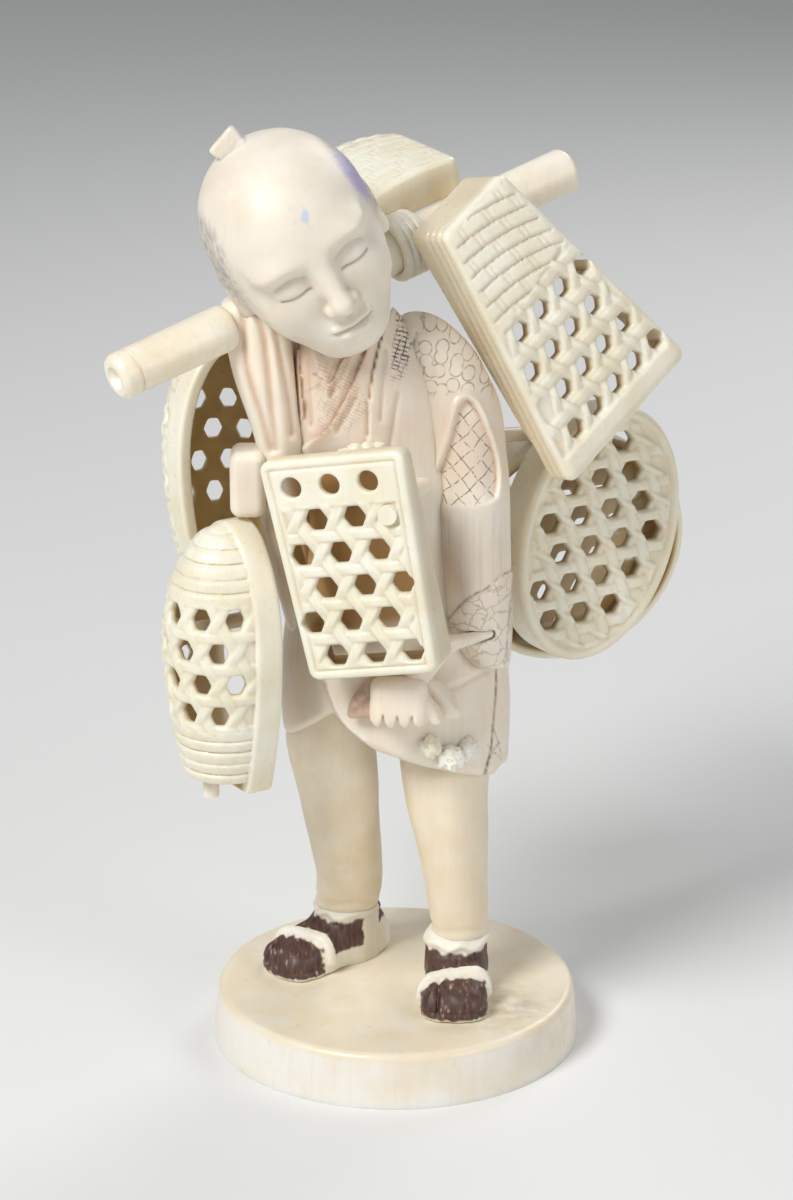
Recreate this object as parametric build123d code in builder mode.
# Carved figure of a basket seller on a round stand, made of pieces pegged together.
# Millimetres, +Z up. The origin is the centre of the stand's underside, +X is the
# viewer's right and -Y faces the viewer. Left and right in names are the figure's own.
import os
from math import cos, radians, sin

from build123d import *

os.makedirs("parts", exist_ok=True)

# Fits
socket_play = 0.05  # radial room of a peg in its socket
seat_gap = 0.12  # glue line between carved pieces
overrun = 12.0  # how far a cut runs past what it cuts

# Stand
stand_radius = 35.0
stand_height = 10.5
stand_lean = 1.0  # how much smaller the top is than the foot
stand_edge = 1.4

# Feet and legs
foot_length = 28.0
foot_width = 12.6
foot_height = 10.0
right_foot_turn = -49.0
left_foot_turn = -3.0
right_foot_place_shares = (-0.37, 0.26)  # of the stand's radius
left_foot_place_shares = (0.325, -0.2)
ankle_along_share = 0.34  # of the foot's length, from the heel
ankle_half_width = 5.6
leg_half_width = 8.6
leg_half_depth = 8.8
leg_seat = 18.0  # how far a leg reaches into the skirt
leg_pin_radius = 1.6
leg_pin_reach = 9.0  # into the stand and above the ankle

# Robe
hem_height = 43.5  # above the stand
hem_rise = 11.0  # how much higher the hem is at the right side
robe_half_width = 21.6
robe_half_depth = 14.5
robe_height = 92.0  # from the hem to the neck

# Sleeves, arm and hand
left_sleeve_half_width = 8.2
left_sleeve_half_depth = 9.5
left_sleeve_height = 66.0
left_sleeve_drop = 2.54  # its top below the robe's
right_sleeve_half_width = 6.2
right_sleeve_half_depth = 5.6
right_sleeve_height = 66.0
right_sleeve_rise = 1.968  # its top above the robe's
cuff_width = 6.2
cuff_depth = 9.0
cuff_height = 12.4
cuff_corner = 1.6
cuff_gap = 0.524  # above the basket at the right hip
forearm_radius = 3.1
elbow_rise = 10.58  # above the foot of the left sleeve
hand_width = 10.5
hand_depth = 4.8
hand_height = 8.6
hand_corner = 2.0
hand_seat_gap = 0.6
hand_drop = 2.488  # below the middle of the front basket's lower end
pouch_length = 21.0
pouch_height = 9.0
pouch_depth = 2.8

# Head and neck
head_height = 40.5
head_half_width = 15.2
head_half_depth = 17.8
head_turn = 8.0
head_bow = 16.0
head_tilt = -28.0
ear_height = 9.5
ear_depth = 5.0
ear_thick = 2.6
nose_width = 6.4
nose_length = 9.0
nose_reach = 3.2
topknot_length = 6.6
topknot_width = 5.6
topknot_corner = 1.2
neck_radius = 7.6
neck_reach = 15.0
neck_seat = 4.5

# Pole
pole_radius = 4.25
pole_length = 99.5
pole_stub_length = 24.0  # of the front length
pole_rear_start = 52.0  # from the front end
pole_edge = 1.3
pole_cone_radius = 2.2
pole_cone_depth = 4.0
pole_cone_taper = 25.0
pole_groove_place = 3.2
pole_groove_width = 0.7
pole_groove_depth = 0.45
pole_dowel_radius = 1.6
pole_dowel_seat = 7.0
lashing_width = 5.6
lashing_radius = 6.2
lashing_edge = 1.2
lashing_place = 59.0  # from the front end
pole_yaw = 32.7
pole_rise = 15.0
pole_start_shares = (-2.27, -1.78, 0.903)  # of the robe's half width, half depth, height

# Baskets in general
basket_wall = 1.8
basket_corner = 2.4
mesh_hole_radius = 2.0
peg_radius = 1.4

# Front basket
front_top_width = 28.0
front_bottom_width = 25.0
front_length = 41.4
front_top_depth = 4.4
front_bottom_depth = 9.3
front_mesh_pitch = 7.4
front_mesh_row = 6.35
front_mesh_low = 0.2  # below the middle of the face
front_pin_radius = 1.75
front_pin_reach = 17.0  # behind the face
front_place_shares = (-0.37, -1.79, 0.524)
front_turns = (-21.0, 1.1, -11.2)  # yaw, pitch, roll in degrees

# Tapered basket at the left shoulder
taper_top_width = 17.6
taper_bottom_width = 35.0
taper_length = 52.4
taper_top_depth = 11.6
taper_bottom_depth = 5.9
taper_mesh_pitch = 5.4
taper_mesh_row = 7.1
taper_mesh_aside = 0.5  # from the middle of the face
taper_mesh_low = 8.3
taper_place_shares = (1.32, 0.0, 0.957)
taper_turns = (34.0, -12.0, -34.0)
taper_peg_place = 76.0  # along the pole

# Oval basket at the left hip
oval_half_length = 24.7
oval_half_width = 16.7
oval_depth = 9.6
oval_lean = 71.0
oval_mesh_pitch = 6.55
oval_mesh_row = 6.15
oval_mesh_drift = 1.9
oval_mesh_tilt = 5.2
oval_mesh_low = 8.0  # how far the second lowest row lies below the middle
oval_rim = 2.6
oval_place_shares = (1.79, 1.02, 0.448)
oval_turns = (26.0, -5.0, 0.0)

# Basket on the back
back_half_width = 24.5
back_half_height = 22.5
back_depth = 12.0
back_floor_edge = 4.0
back_mesh_pitch = 7.4
back_mesh_row = 5.6
back_place_shares = (1.34, 2.6, 0.375)
back_turns = (206.0, 0.0, 0.0)

# Basket behind the head
shoulder_top_width = 30.0
shoulder_bottom_width = 23.0
shoulder_length = 36.0
shoulder_top_depth = 6.5
shoulder_bottom_depth = 7.6
shoulder_mesh_pitch = 7.0
shoulder_mesh_row = 6.2
shoulder_mesh_high = 4.0  # above the middle of the roof
shoulder_place_shares = (-0.36, 1.72, 1.21)

# Arched baskets at the right hip and on the right back
arch_half_width = 12.0
arch_height = 50.5
arch_rim = 5.5  # depth of the plain band around the mouth
arch_lip = 0.7  # how far the band stands proud of the dome
arch_foot_share = 0.62  # of the half width
arch_round_share = 0.55  # roundness of the top
arch_belly_share = 0.56  # of the height
arch_mesh_step = 36.0  # degrees around the dome
arch_mesh_row = 6.1
arch_mesh_start = 17.0  # height of the lowest row of holes
arch_mesh_counts = (4, 5, 4, 5)
arch_peg_height = 31.2
right_hip_place_shares = (-1.23, -0.81)
right_hip_peg_rise = 5.992  # above the foot of the right sleeve
right_hip_turns = (-57.0, 0.0, 0.0)
right_back_place_shares = (-1.37, 0.72, 0.33)
right_back_turns = (-149.0, 0.0, 0.0)
stub_radius = 1.5
stub_length = 3.4

# Broken peg ends in the front of the skirt
skirt_stub_radius = 2.0
skirt_stub_length = 3.2  # in front of the skirt
skirt_stub_seat = 4.0
upper_stub_shares = (0.3, -0.96, 0.11)
lower_stub_shares = (0.463, -0.93, 0.088)

# Levels and anchor points that follow from these
foot_top = stand_height + foot_height
hem_level = stand_height + hem_height
shoulder_level = hem_level + robe_height


def on_figure(shares):
    """A point given in shares of the robe's half width, half depth and height."""
    across, back, up = shares
    return Vector(across * robe_half_width, back * robe_half_depth, hem_level + up * robe_height)


def facing(place, turns):
    """A plane whose normal points out of a basket's face, with X across it and Y up it."""
    yaw, pitch, roll = turns
    seat = Location(place) * Location((0, 0, 0), (0, 0, yaw)) * Location((0, 0, 0), (pitch, 0, 0))
    seat = seat * Location((0, 0, 0), (0, roll, 0))
    level = Plane(seat)
    return Plane(origin=level.origin, x_dir=level.x_dir, z_dir=-level.y_dir)


def loft_ovals(sections, grow=0.0, mode=Mode.ADD):
    """A smooth solid through level ovals, each given as its centre and two half sizes."""
    ovals = []
    for centre, half_width, half_depth in sections:
        with BuildSketch(Plane.XY.offset(centre.Z)) as oval:
            with Locations((centre.X, centre.Y)):
                Ellipse(half_width + grow, half_depth + grow)
        ovals.append(oval.sketch)
    loft(ovals, mode=mode)


def round_bar(start, end, radius, mode=Mode.ADD):
    """A straight round bar between two points."""
    with BuildSketch(Plane(origin=start, z_dir=end - start)) as disc:
        Circle(radius)
    extrude(disc.sketch, amount=(end - start).length, mode=mode)


def drill(start, end, radius):
    """The socket of such a bar."""
    round_bar(start, end, radius + socket_play, Mode.SUBTRACT)


def panel_outline(top_width, bottom_width, length, inset, corner):
    """The four sided face of a basket, drawn in the sketch that is open."""
    top, bottom, half = top_width / 2 - inset, bottom_width / 2 - inset, length / 2 - inset
    with BuildLine() as border:
        Polyline((-bottom, -half), (bottom, -half), (top, half), (-top, half), close=True)
    make_face(border.edges())
    fillet(vertices(), radius=corner)


def panel_basket(face, widths, length, depths, holes, hole_turn=0.0):
    """A shallow box basket, open at the back, with a pierced face."""
    top_depth, bottom_depth = depths
    deepest = max(depths)
    side = Plane(origin=face.origin, x_dir=face.y_dir, z_dir=-face.x_dir)
    with BuildSketch(face) as block:
        panel_outline(*widths, length, 0, basket_corner)
    extrude(block.sketch, amount=-deepest)
    with BuildSketch(side) as profile:
        with BuildLine():
            Polyline(
                (-length / 2, 0),
                (length / 2, 0),
                (length / 2, top_depth),
                (-length / 2, bottom_depth),
                close=True,
            )
        make_face()
    extrude(profile.sketch, amount=max(widths), both=True, mode=Mode.INTERSECT)
    with BuildSketch(face.offset(-basket_wall)) as hollow:
        panel_outline(*widths, length, basket_wall, basket_corner - basket_wall / 2)
    extrude(hollow.sketch, amount=-deepest, mode=Mode.SUBTRACT)
    with BuildSketch(face) as mesh:
        with Locations(*holes):
            RegularPolygon(mesh_hole_radius, 6, rotation=hole_turn)
    extrude(mesh.sketch, amount=-2 * basket_wall, mode=Mode.SUBTRACT)


def mesh_rows(centre, pitch, row_step, counts, stagger=0.0):
    """Hole centres in rows from the top down, each row centred and moved aside in turn."""
    points = []
    for row, count in enumerate(counts):
        aside = stagger / 2 if row % 2 else -stagger / 2
        y = centre[1] + ((len(counts) - 1) / 2 - row) * row_step
        for column in range(count):
            points.append((centre[0] + aside + (column - (count - 1) / 2) * pitch, y))
    return points


def arch_outline(inset, floor):
    """Half of an arched mouth: straight foot, flaring side and a round top."""
    half_width = arch_half_width - inset
    foot_half = arch_half_width * arch_foot_share - inset
    belly = arch_height * arch_belly_share
    top = arch_height - inset
    with BuildLine() as half_mouth:
        Line((0, floor), (foot_half, floor))
        Line((foot_half, floor), (half_width, belly))
        side_pull = belly + arch_round_share * (top - belly)
        top_pull = arch_round_share * half_width
        Bezier((half_width, belly), (half_width, side_pull), (top_pull, top), (0, top))
        Line((0, top), (0, floor))
    make_face(half_mouth.edges())


def arch_dome(inset, floor, mode):
    """The half round dome that stands on the rim."""
    base = Plane.XY.offset(arch_rim)
    with BuildSketch(base) as profile:
        arch_outline(inset, floor)
    turn = Axis(base.origin, -base.y_dir)
    revolve(profile.sketch, axis=turn, revolution_arc=180, mode=mode)


def arch_band(inset, floor, mode):
    """The straight band around the mouth."""
    with BuildSketch() as mouth:
        arch_outline(inset, floor)
        mirror(about=Plane.YZ)
    extrude(mouth.sketch, amount=arch_rim, mode=mode)


def save(piece, name):
    """Name a finished piece and write it."""
    piece.part.label = name
    export_step(piece.part, f"parts/{name}.step")


# Planes of the baskets
front_face = facing(on_figure(front_place_shares), front_turns)
taper_face = facing(on_figure(taper_place_shares), taper_turns)
oval_face = facing(on_figure(oval_place_shares), oval_turns)
back_face = facing(on_figure(back_place_shares), back_turns)
right_sleeve_foot = shoulder_level + right_sleeve_rise - right_sleeve_height
right_hip_place = on_figure((*right_hip_place_shares, 0))
right_hip_place.Z = right_sleeve_foot + right_hip_peg_rise - arch_peg_height
right_hip_mouth = facing(right_hip_place, right_hip_turns)
right_back_mouth = facing(on_figure(right_back_place_shares), right_back_turns)

# Pole line
pole_start = on_figure(pole_start_shares)
pole_flat = cos(radians(pole_rise))
pole_along = Vector(
    pole_flat * cos(radians(pole_yaw)), pole_flat * sin(radians(pole_yaw)), sin(radians(pole_rise))
)

# The basket behind the head lies face up beside the pole
pole_aside = Vector(-sin(radians(pole_yaw)), cos(radians(pole_yaw)), 0)
shoulder_face = Plane(
    origin=on_figure(shoulder_place_shares), x_dir=pole_along, z_dir=pole_along.cross(pole_aside)
)


def on_pole(distance):
    """A point of the pole's axis, from its front end."""
    return pole_start + pole_along * distance


def foot_plane(place_shares, turn):
    """The plane of a sole, with Y from toe to heel."""
    place = Vector(place_shares[0] * stand_radius, place_shares[1] * stand_radius, stand_height)
    return Plane(Location(place, (0, 0, turn)))


right_sole = foot_plane(right_foot_place_shares, right_foot_turn)
left_sole = foot_plane(left_foot_place_shares, left_foot_turn)
ankle_back = foot_length * (0.5 - ankle_along_share)
right_ankle = right_sole.from_local_coords((0, ankle_back, foot_height))
left_ankle = left_sole.from_local_coords((0, ankle_back, foot_height))

# Legs: share of the way up, lean aside and forward, half width and half depth
leg_top = hem_level + leg_seat
right_hip = Vector(-0.5 * robe_half_width, 0, leg_top)
left_hip = Vector(0.42 * robe_half_width, 0, leg_top)
right_leg_shares = (
    (0.0, 0.0, 0.0, 0.72, 0.68),
    (0.14, 0.12, -0.08, 0.74, 0.72),
    (0.32, 0.02, -0.14, 0.8, 0.82),
    (0.56, -0.1, -0.16, 0.92, 0.93),
    (0.76, -0.22, -0.16, 1.0, 0.98),
    (1.0, 0.0, 0.0, 0.96, 0.96),
)
left_leg_shares = (
    (0.0, 0.1, 0.0, 0.62, 0.64),
    (0.14, 0.05, 0.02, 0.66, 0.7),
    (0.32, 0.02, 0.05, 0.76, 0.84),
    (0.52, -0.08, 0.05, 0.9, 0.93),
    (0.7, -0.08, 0.02, 1.0, 0.98),
    (1.0, 0.0, 0.0, 0.98, 1.0),
)


def leg_sections(ankle, hip, shares):
    """Level ovals from ankle to hip."""
    sections = []
    for up, aside, back, half_width, half_depth in shares:
        lean = Vector(aside * leg_half_width, back * leg_half_depth, 0)
        centre = ankle + (hip - ankle) * up + lean
        sections.append((centre, half_width * leg_half_width, half_depth * leg_half_depth))
    return sections


right_leg_ovals = leg_sections(right_ankle, right_hip, right_leg_shares)
left_leg_ovals = leg_sections(left_ankle, left_hip, left_leg_shares)

# Robe: up, across, back, half width, half depth
robe_shares = (
    (0.0, 0.02, -0.03, 0.96, 0.94),
    (0.13, 0.0, -0.03, 0.99, 0.98),
    (0.25, -0.01, 0.0, 0.98, 1.0),
    (0.39, -0.09, 0.0, 0.82, 0.9),
    (0.55, -0.13, -0.07, 0.77, 0.9),
    (0.72, -0.2, -0.2, 0.76, 0.9),
    (0.85, -0.28, -0.3, 0.7, 0.8),
    (0.94, -0.38, -0.41, 0.5, 0.58),
    (0.985, -0.42, -0.48, 0.34, 0.4),
)
robe_top_shares = (-0.42, -0.48, 0.985)
robe_ovals = [
    (on_figure((across, back, up)), half_width * robe_half_width, half_depth * robe_half_depth)
    for up, across, back, half_width, half_depth in robe_shares
]

# Sleeves: up from the lower end, across and back of the robe, half width and half depth
left_sleeve_shares = (
    (0.0, 0.79, -0.5, 0.5, 0.5),
    (0.1, 0.71, -0.46, 0.76, 0.79),
    (0.24, 0.68, -0.4, 0.8, 0.9),
    (0.52, 0.62, -0.32, 0.9, 1.0),
    (0.74, 0.51, -0.3, 1.0, 1.0),
    (0.9, 0.33, -0.3, 0.85, 0.8),
    (1.0, 0.14, -0.28, 0.45, 0.45),
)
right_sleeve_shares = (
    (0.0, -0.88, -0.3, 0.55, 0.75),
    (0.35, -0.92, -0.42, 0.8, 0.9),
    (0.58, -0.96, -0.66, 0.68, 0.85),
    (0.78, -1.1, -0.78, 0.94, 0.95),
    (1.0, -1.18, -0.72, 1.0, 0.85),
)
left_sleeve_foot = shoulder_level - left_sleeve_drop - left_sleeve_height


def sleeve_sections(shares, foot, height, half_width, half_depth):
    """Level ovals of a sleeve that hangs beside the robe."""
    sections = []
    for up, across, back, wide, deep in shares:
        centre = on_figure((across, back, 0))
        centre.Z = foot + up * height
        sections.append((centre, wide * half_width, deep * half_depth))
    return sections


left_sleeve_ovals = sleeve_sections(
    left_sleeve_shares,
    left_sleeve_foot,
    left_sleeve_height,
    left_sleeve_half_width,
    left_sleeve_half_depth,
)
right_sleeve_ovals = sleeve_sections(
    right_sleeve_shares,
    right_sleeve_foot,
    right_sleeve_height,
    right_sleeve_half_width,
    right_sleeve_half_depth,
)

# Head
head_place_shares = (-0.78, -0.97, 1.138)
head_seat = facing(on_figure(head_place_shares), (head_turn, head_bow, head_tilt))
head_up = head_seat.y_dir
head_shares = (
    (-0.48, -0.4, 0.28, 0.26),
    (-0.37, -0.3, 0.56, 0.48),
    (-0.22, -0.15, 0.8, 0.68),
    (0.0, 0.0, 0.93, 0.9),
    (0.17, 0.08, 1.0, 1.0),
    (0.33, 0.08, 0.9, 0.9),
    (0.44, 0.05, 0.6, 0.6),
    (0.49, 0.03, 0.26, 0.27),
)
topknot_foot = head_seat.from_local_coords(
    (-0.06 * head_half_width, 0.43 * head_height, -0.3 * head_half_depth)
)
topknot_lean = (head_up - head_seat.x_dir * 0.35 - head_seat.z_dir * 0.5).normalized()
topknot_end = topknot_foot + topknot_lean * topknot_length
neck_top = head_seat.from_local_coords((0, -0.16 * head_height, -0.3 * head_half_depth))
neck_foot = on_figure(robe_top_shares) - Vector(0, 0, neck_seat)

# Mesh of the flat baskets
front_mesh = mesh_rows((0, -front_mesh_low), front_mesh_pitch, front_mesh_row, (3,) * 6, front_mesh_pitch / 2)
taper_mesh = mesh_rows((taper_mesh_aside, -taper_mesh_low), taper_mesh_pitch, taper_mesh_row, (4, 5, 4, 5))
shoulder_mesh = mesh_rows((0, shoulder_mesh_high), shoulder_mesh_pitch, shoulder_mesh_row, (3, 4, 3))
back_mesh = mesh_rows((0, 0), back_mesh_pitch, back_mesh_row, (3, 4, 5, 4, 5, 4, 3))

# Pouch, flat against the skirt, and the hand that holds it
skirt_front = -robe_half_depth - hand_seat_gap
hand_back = skirt_front - pouch_depth - seat_gap
hand_level = front_face.origin.Z - front_length / 2 - hand_drop - hand_height
pouch_level = hand_level + hand_seat_gap
pouch_centre = 0.07 * robe_half_width
hand_centre = 0.02 * robe_half_width
wrist = Vector(hand_centre + 0.3 * hand_width, hand_back - hand_depth / 2, hand_level + 0.8 * hand_height)
elbow_shares = (0.74, -0.5)
elbow_end = on_figure((*elbow_shares, 0))
elbow_end.Z = left_sleeve_foot + elbow_rise

# Pegs: each runs from the figure to the middle of a basket's wall
wall_middle = basket_wall / 2
front_pin_place = front_mesh[5]
front_pin_out = front_face.from_local_coords((*front_pin_place, basket_wall / 2))
front_pin_in = front_face.from_local_coords((*front_pin_place, -front_pin_reach))
dome_reach = arch_rim + arch_half_width - arch_lip - basket_wall * 0.6
right_hip_peg_ends = (
    right_hip_mouth.from_local_coords((0, arch_peg_height, -arch_rim)),
    right_hip_mouth.from_local_coords((0, arch_peg_height, dome_reach)),
)
right_back_peg_ends = (
    on_figure((-0.5, 0.3, 0.6)),
    right_back_mouth.from_local_coords((wall_middle - arch_half_width, arch_peg_height, arch_rim / 2)),
)
left_hip_peg_ends = (
    on_figure((0.35, 0.2, 0.45)),
    oval_face.from_local_coords((wall_middle - oval_half_width, 0, -oval_depth / 2)),
)
back_peg_ends = (
    on_figure((0.1, 0.4, 0.4)),
    back_face.from_local_coords((back_half_width - wall_middle, 0, -back_depth / 2)),
)
strut_ends = (
    on_figure((0.25, 0.45, 0.68)),
    back_face.from_local_coords((0, back_half_height - wall_middle, -back_depth / 2)),
)
taper_peg_ends = (
    on_pole(taper_peg_place),
    taper_face.from_local_coords((0, 0.3 * taper_length, -wall_middle)),
)
dowel_ends = (
    on_pole(pole_stub_length - pole_dowel_seat),
    on_pole(pole_rear_start + pole_dowel_seat),
)
lashing_ends = (on_pole(lashing_place), on_pole(lashing_place + lashing_width))
stub_ends = (
    right_hip_mouth.from_local_coords((0, basket_wall * 0.9, arch_rim * 1.6)),
    right_hip_mouth.from_local_coords((0, basket_wall * 0.9 - stub_length, arch_rim * 1.6)),
)
upper_stub_ends = [
    on_figure(upper_stub_shares) + Vector(0, reach, 0) for reach in (skirt_stub_seat, -skirt_stub_length)
]
lower_stub_ends = [
    on_figure(lower_stub_shares) + Vector(0, reach, 0) for reach in (skirt_stub_seat, -skirt_stub_length)
]
shoulder_peg_ends = (
    on_figure((-0.5, 0.1, 0.88)),
    shoulder_face.from_local_coords((-0.25 * shoulder_top_width, -0.2 * shoulder_length, -wall_middle)),
)

# Stand, with a socket for each leg's pin
with BuildPart() as stand:
    with BuildSketch():
        Circle(stand_radius)
    with BuildSketch(Plane.XY.offset(stand_height)):
        Circle(stand_radius - stand_lean)
    loft()
    fillet(stand.edges().group_by(Axis.Z)[-1], radius=stand_edge)
    for ankle in (right_ankle, left_ankle):
        socket_foot = Vector(ankle.X, ankle.Y, stand_height - leg_pin_reach)
        drill(socket_foot, ankle, leg_pin_radius)
save(stand, "stand")

# Pins that run from the stand through the foot into the leg
for side, ankle in (("right", right_ankle), ("left", left_ankle)):
    pin_foot = Vector(ankle.X, ankle.Y, stand_height - leg_pin_reach)
    pin_top = ankle + Vector(0, 0, leg_pin_reach)
    with BuildPart() as leg_pin:
        round_bar(pin_foot, pin_top, leg_pin_radius)
    save(leg_pin, f"{side}_leg_pin")

# Feet: share from toe to heel, half width and height of each section
foot_shares = (
    (-0.5, 0.74, 0.4),
    (-0.42, 0.98, 0.5),
    (-0.18, 1.02, 0.62),
    (0.08, 0.84, 0.86),
    (0.3, 0.78, 0.9),
    (0.5, 0.55, 0.66),
)
for side, sole, ankle in (("right", right_sole, right_ankle), ("left", left_sole, left_ankle)):
    with BuildPart() as foot:
        for along, wide, high in foot_shares:
            height = high * foot_height
            place = sole.from_local_coords((0, along * foot_length, height / 2))
            with BuildSketch(Plane(origin=place, x_dir=sole.x_dir, z_dir=sole.y_dir)):
                RectangleRounded(wide * foot_width, height, 0.4 * height)
        loft()
        with BuildSketch(Plane(origin=(ankle.X, ankle.Y, stand_height))):
            Circle(ankle_half_width)
        extrude(amount=foot_height)
        pin_foot = Vector(ankle.X, ankle.Y, stand_height)
        drill(pin_foot, ankle, leg_pin_radius)
    save(foot, f"{side}_foot")

# Legs
leg_table = (
    ("right", right_leg_ovals, right_ankle, right_sleeve_ovals),
    ("left", left_leg_ovals, left_ankle, left_sleeve_ovals),
)
for side, ovals, ankle, sleeve_ovals in leg_table:
    with BuildPart() as leg:
        loft_ovals(ovals)
        loft_ovals(sleeve_ovals, seat_gap, Mode.SUBTRACT)
        drill(ankle, ankle + Vector(0, 0, leg_pin_reach), leg_pin_radius)
    save(leg, f"{side}_leg")

# Robe: one block, cut for everything that is set into it
with BuildPart() as robe:
    loft_ovals(robe_ovals)
    with BuildSketch(Plane.XZ):
        with BuildLine():
            Polyline(
                (-robe_half_width - overrun, hem_level - overrun),
                (robe_half_width + overrun, hem_level - overrun),
                (robe_half_width, hem_level),
                (-robe_half_width, hem_level + hem_rise),
                (-robe_half_width - overrun, hem_level + hem_rise),
                close=True,
            )
        make_face()
    extrude(amount=robe_half_depth + overrun, both=True, mode=Mode.SUBTRACT)
    loft_ovals(right_leg_ovals, seat_gap, Mode.SUBTRACT)
    loft_ovals(left_leg_ovals, seat_gap, Mode.SUBTRACT)
    loft_ovals(left_sleeve_ovals, seat_gap, Mode.SUBTRACT)
    loft_ovals(right_sleeve_ovals, seat_gap, Mode.SUBTRACT)
    drill(neck_foot, neck_top, neck_radius)
    drill(elbow_end, wrist, forearm_radius)
    drill(front_pin_in, front_pin_out, front_pin_radius)
    for ends in (right_back_peg_ends, left_hip_peg_ends, back_peg_ends, strut_ends, shoulder_peg_ends):
        drill(*ends, peg_radius)
    drill(*dowel_ends, pole_dowel_radius)
    for ends in (upper_stub_ends, lower_stub_ends):
        drill(*ends, skirt_stub_radius)
    drill(on_pole(pole_rear_start), on_pole(pole_length), pole_radius)
save(robe, "robe")

# Sleeves, the forearm in the left one and the cuff beside the right one
with BuildPart() as left_sleeve:
    loft_ovals(left_sleeve_ovals)
    drill(elbow_end, wrist, forearm_radius)
save(left_sleeve, "left_sleeve")

with BuildPart() as right_sleeve:
    loft_ovals(right_sleeve_ovals)
    drill(on_pole(0), on_pole(pole_stub_length), pole_radius)
    drill(*dowel_ends, pole_dowel_radius)
    drill(*right_hip_peg_ends, peg_radius)
save(right_sleeve, "right_sleeve")

cuff_shares = (-1.235, -0.76)
cuff_place = on_figure((*cuff_shares, 0))
cuff_place.Z = right_hip_place.Z + arch_height + cuff_gap + cuff_height / 2
with BuildPart() as right_cuff:
    with BuildSketch(Plane(origin=cuff_place - Vector(0, 0, cuff_height / 2))):
        RectangleRounded(cuff_width, cuff_depth, cuff_corner)
    extrude(amount=cuff_height)
    loft_ovals(right_sleeve_ovals, seat_gap, Mode.SUBTRACT)
save(right_cuff, "right_cuff")

with BuildPart() as left_hand:
    palm_place = (hand_centre, hand_back, hand_level + hand_height / 2)
    with BuildSketch(Plane(origin=palm_place, x_dir=(1, 0, 0), z_dir=(0, -1, 0))):
        RectangleRounded(hand_width, hand_height, hand_corner)
    extrude(amount=hand_depth)
    fillet(left_hand.faces().sort_by(Axis.Y)[0].edges(), radius=hand_corner * 0.6)
    drill(elbow_end, wrist, forearm_radius)
save(left_hand, "left_hand")

with BuildPart() as left_forearm:
    round_bar(elbow_end, wrist, forearm_radius)
save(left_forearm, "left_forearm")

with BuildPart() as held_pouch:
    pouch_place = (pouch_centre, skirt_front, pouch_level)
    with BuildSketch(Plane(origin=pouch_place, x_dir=(1, 0, 0), z_dir=(0, -1, 0))):
        Ellipse(pouch_length / 2, pouch_height)
        with Locations((0, -pouch_height / 2)):
            Rectangle(pouch_length, pouch_height, mode=Mode.SUBTRACT)
    extrude(amount=pouch_depth)
    drill(elbow_end, wrist, forearm_radius)
    for ends in (upper_stub_ends, lower_stub_ends):
        drill(*ends, skirt_stub_radius)
save(held_pouch, "held_pouch")

# Head, with ears, nose and topknot, and the tenon that carries it


def head_section(share, out_share, wide, deep):
    """One oval across the head, square to its upright axis."""
    place = head_seat.from_local_coords((0, share * head_height, -out_share * head_half_depth))
    with BuildSketch(Plane(origin=place, x_dir=head_seat.x_dir, z_dir=head_up)) as oval:
        Ellipse(wide * head_half_width, deep * head_half_depth)
    return oval.sketch


with BuildPart() as head:
    loft([head_section(*shares) for shares in head_shares])
    for side in (-1, 1):
        ear_place = head_seat.from_local_coords((side * head_half_width * 0.84, 0, 0))
        with BuildSketch(Plane(origin=ear_place, x_dir=-head_seat.z_dir, z_dir=side * head_seat.x_dir)):
            Ellipse(ear_depth / 2, ear_height / 2)
        extrude(amount=ear_thick)
    nose_foot = head_seat.from_local_coords((0, -0.1 * head_height, 0.5 * head_half_depth))
    with BuildSketch(Plane(origin=nose_foot, x_dir=head_seat.x_dir, z_dir=head_seat.z_dir)):
        Ellipse(nose_width / 2, nose_length / 2)
    extrude(amount=0.4 * head_half_depth + nose_reach)
    loft_ovals(robe_ovals, seat_gap, Mode.SUBTRACT)
    loft_ovals(right_sleeve_ovals, seat_gap, Mode.SUBTRACT)
    drill(neck_foot, neck_top, neck_radius)
    drill(on_pole(0), on_pole(pole_stub_length), pole_radius)
    drill(*dowel_ends, pole_dowel_radius)
    drill(topknot_foot, topknot_end, topknot_width / 2)
save(head, "head")

with BuildPart() as topknot:
    round_bar(topknot_foot, topknot_end, topknot_width / 2)
    fillet(topknot.edges(), radius=topknot_corner)
save(topknot, "topknot")

with BuildPart() as neck:
    round_bar(neck_foot, neck_top, neck_radius)
    loft_ovals(right_sleeve_ovals, seat_gap, Mode.SUBTRACT)
    drill(*dowel_ends, pole_dowel_radius)
save(neck, "neck")

# Pole in two lengths with a dowel between them
with BuildPart() as pole_front:
    round_bar(on_pole(0), on_pole(pole_stub_length), pole_radius)
    fillet(pole_front.edges(), radius=pole_edge)
    drill(*dowel_ends, pole_dowel_radius)
    with BuildSketch(Plane(origin=pole_start, z_dir=pole_along)):
        Circle(pole_cone_radius)
    extrude(amount=pole_cone_depth, taper=pole_cone_taper, mode=Mode.SUBTRACT)
    with BuildSketch(Plane(origin=on_pole(pole_groove_place), z_dir=pole_along)):
        Circle(pole_radius + overrun)
        Circle(pole_radius - pole_groove_depth, mode=Mode.SUBTRACT)
    extrude(amount=pole_groove_width, mode=Mode.SUBTRACT)
save(pole_front, "pole_front")

with BuildPart() as pole_rear:
    round_bar(on_pole(pole_rear_start), on_pole(pole_length), pole_radius)
    fillet(pole_rear.edges(), radius=pole_edge)
    drill(*dowel_ends, pole_dowel_radius)
    drill(*taper_peg_ends, peg_radius)
save(pole_rear, "pole_rear")

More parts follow.
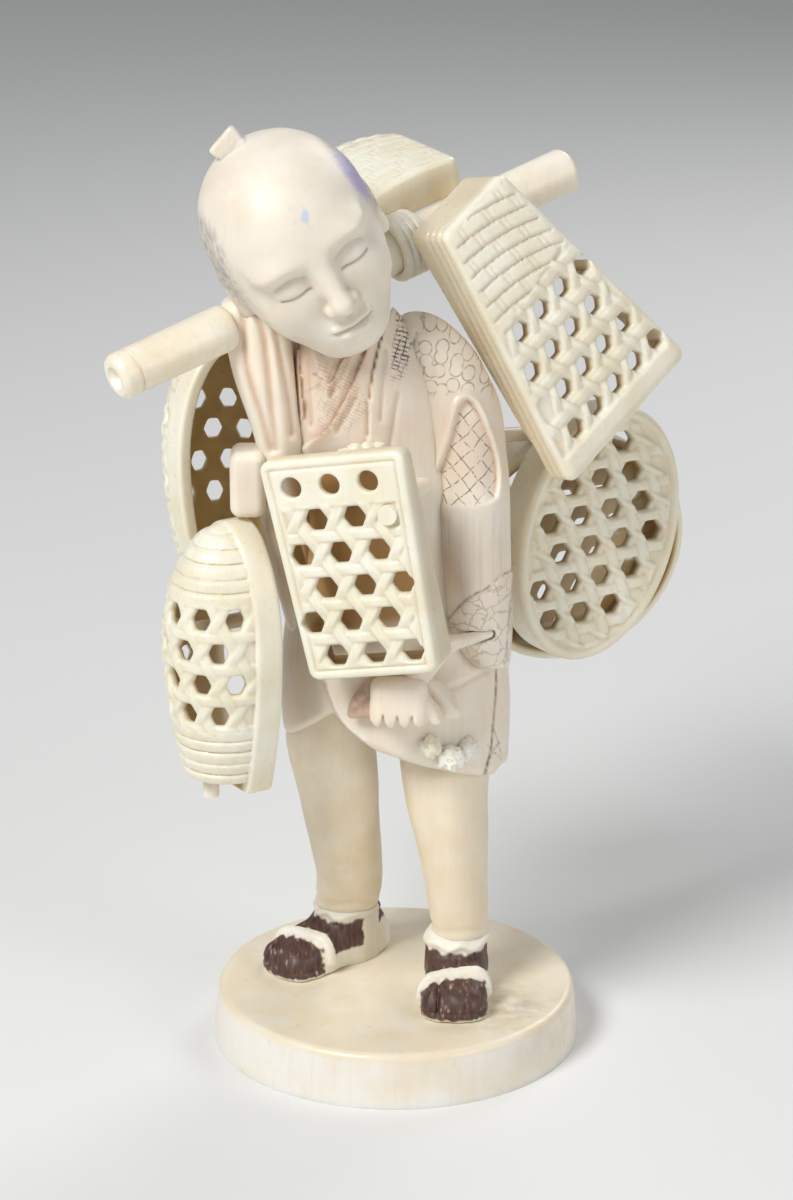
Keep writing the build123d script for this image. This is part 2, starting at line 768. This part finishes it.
# Baskets
with BuildPart() as front_basket:
    panel_basket(
        front_face,
        (front_top_width, front_bottom_width),
        front_length,
        (front_top_depth, front_bottom_depth),
        front_mesh,
    )
    drill(front_pin_in, front_pin_out, front_pin_radius)
save(front_basket, "front_basket")

with BuildPart() as left_shoulder_basket:
    panel_basket(
        taper_face,
        (taper_top_width, taper_bottom_width),
        taper_length,
        (taper_top_depth, taper_bottom_depth),
        taper_mesh,
    )
    drill(on_pole(pole_rear_start), on_pole(pole_length), pole_radius)
    drill(*taper_peg_ends, peg_radius)
    loft_ovals(left_sleeve_ovals, seat_gap, Mode.SUBTRACT)
save(left_shoulder_basket, "left_shoulder_basket")

with BuildPart() as shoulder_basket:
    panel_basket(
        shoulder_face,
        (shoulder_top_width, shoulder_bottom_width),
        shoulder_length,
        (shoulder_top_depth, shoulder_bottom_depth),
        shoulder_mesh,
    )
    drill(*shoulder_peg_ends, peg_radius)
    drill(on_pole(pole_rear_start), on_pole(pole_length), pole_radius)
    drill(*lashing_ends, lashing_radius)
save(shoulder_basket, "shoulder_basket")

# Arched scoop, made flat on its mouth: a proud rim, a floor and a dome with staggered holes
with BuildPart() as arch:
    arch_dome(arch_lip, 0, Mode.ADD)
    arch_band(0, 0, Mode.ADD)
    arch_dome(arch_lip + basket_wall, basket_wall, Mode.SUBTRACT)
    arch_band(arch_lip + basket_wall, basket_wall, Mode.SUBTRACT)
    for row, count in enumerate(arch_mesh_counts):
        middle = Vector(0, arch_mesh_start + row * arch_mesh_row, arch_rim)
        for column in range(count):
            swing = radians((column - (count - 1) / 2) * arch_mesh_step)
            with BuildSketch(Plane(origin=middle, x_dir=(0, 1, 0), z_dir=(sin(swing), 0, cos(swing)))):
                RegularPolygon(mesh_hole_radius, 6)
            extrude(amount=arch_half_width + overrun, mode=Mode.SUBTRACT)

with BuildPart() as right_hip_basket:
    add(arch.part.moved(right_hip_mouth.location))
    drill(*right_hip_peg_ends, peg_radius)
    drill(*stub_ends, stub_radius)
save(right_hip_basket, "right_hip_basket")

with BuildPart() as right_back_basket:
    add(arch.part.moved(right_back_mouth.location))
    drill(*right_back_peg_ends, peg_radius)
save(right_back_basket, "right_back_basket")

# Oval basket: a drum with a pierced face, open at the back
oval_out = oval_face.x_dir * cos(radians(oval_lean)) + oval_face.y_dir * sin(radians(oval_lean))
oval_seat = Plane(origin=oval_face.origin, x_dir=oval_out, z_dir=oval_face.z_dir)
oval_mesh = []
for row in range(-2, 6):
    for column in range(-5, 6):
        along = column * oval_mesh_pitch + row * oval_mesh_drift - (row % 2) * oval_mesh_pitch / 2
        tilt = radians(oval_mesh_tilt)
        x = along * cos(tilt) - row * oval_mesh_row * sin(tilt)
        y = along * sin(tilt) + row * oval_mesh_row * cos(tilt) - oval_mesh_low
        turn = radians(oval_lean)
        far = (x * cos(turn) + y * sin(turn)) / (oval_half_length - oval_rim - mesh_hole_radius)
        wide = (y * cos(turn) - x * sin(turn)) / (oval_half_width - oval_rim - mesh_hole_radius)
        if far**2 + wide**2 < 1:
            oval_mesh.append((x, y))

with BuildPart() as left_hip_basket:
    with BuildSketch(oval_seat):
        Ellipse(oval_half_length, oval_half_width)
    extrude(amount=-oval_depth)
    face_edge = left_hip_basket.faces().sort_by(Axis(oval_seat.origin, oval_seat.z_dir))[-1].edges()
    fillet(face_edge, radius=oval_rim / 2)
    with BuildSketch(oval_seat.offset(-basket_wall)):
        Ellipse(oval_half_length - basket_wall, oval_half_width - basket_wall)
    extrude(amount=-oval_depth, mode=Mode.SUBTRACT)
    with BuildSketch(oval_face):
        with Locations(*oval_mesh):
            RegularPolygon(mesh_hole_radius, 6)
    extrude(amount=-2 * basket_wall, mode=Mode.SUBTRACT)
    drill(*left_hip_peg_ends, peg_radius)
save(left_hip_basket, "left_hip_basket")

# Basket on the back: a rounded bowl whose pierced floor faces away
with BuildPart() as back_basket:
    with BuildSketch(back_face):
        Ellipse(back_half_width, back_half_height)
    extrude(amount=-back_depth)
    floor_edge = back_basket.faces().sort_by(Axis(back_face.origin, back_face.z_dir))[-1].edges()
    fillet(floor_edge, radius=back_floor_edge)
    with BuildSketch(back_face.offset(-basket_wall)):
        Ellipse(back_half_width - basket_wall, back_half_height - basket_wall)
    extrude(amount=-back_depth, mode=Mode.SUBTRACT)
    with BuildSketch(back_face):
        with Locations(*back_mesh):
            RegularPolygon(mesh_hole_radius, 6)
    extrude(amount=-2 * basket_wall, mode=Mode.SUBTRACT)
    drill(*back_peg_ends, peg_radius)
    drill(*strut_ends, peg_radius)
save(back_basket, "back_basket")

# Banded lashing around the pole beside the neck
with BuildPart() as pole_lashing:
    round_bar(*lashing_ends, lashing_radius)
    fillet(pole_lashing.edges(), radius=lashing_edge)
    drill(on_pole(lashing_place - overrun), on_pole(lashing_place + lashing_width + overrun), pole_radius)
save(pole_lashing, "pole_lashing")

# Pegs, each in a node of its own
pegs = {
    "right_hip_peg": (right_hip_peg_ends, peg_radius),
    "right_back_peg": (right_back_peg_ends, peg_radius),
    "left_hip_peg": (left_hip_peg_ends, peg_radius),
    "back_peg": (back_peg_ends, peg_radius),
    "back_strut": (strut_ends, peg_radius),
    "left_shoulder_peg": (taper_peg_ends, peg_radius),
    "shoulder_peg": (shoulder_peg_ends, peg_radius),
    "right_hip_stub": (stub_ends, stub_radius),
    "upper_skirt_stub": (upper_stub_ends, skirt_stub_radius),
    "lower_skirt_stub": (lower_stub_ends, skirt_stub_radius),
    "front_basket_pin": ((front_pin_in, front_pin_out), front_pin_radius),
    "pole_dowel": (dowel_ends, pole_dowel_radius),
}
for name, (ends, radius) in pegs.items():
    with BuildPart() as peg:
        round_bar(*ends, radius)
    save(peg, name)
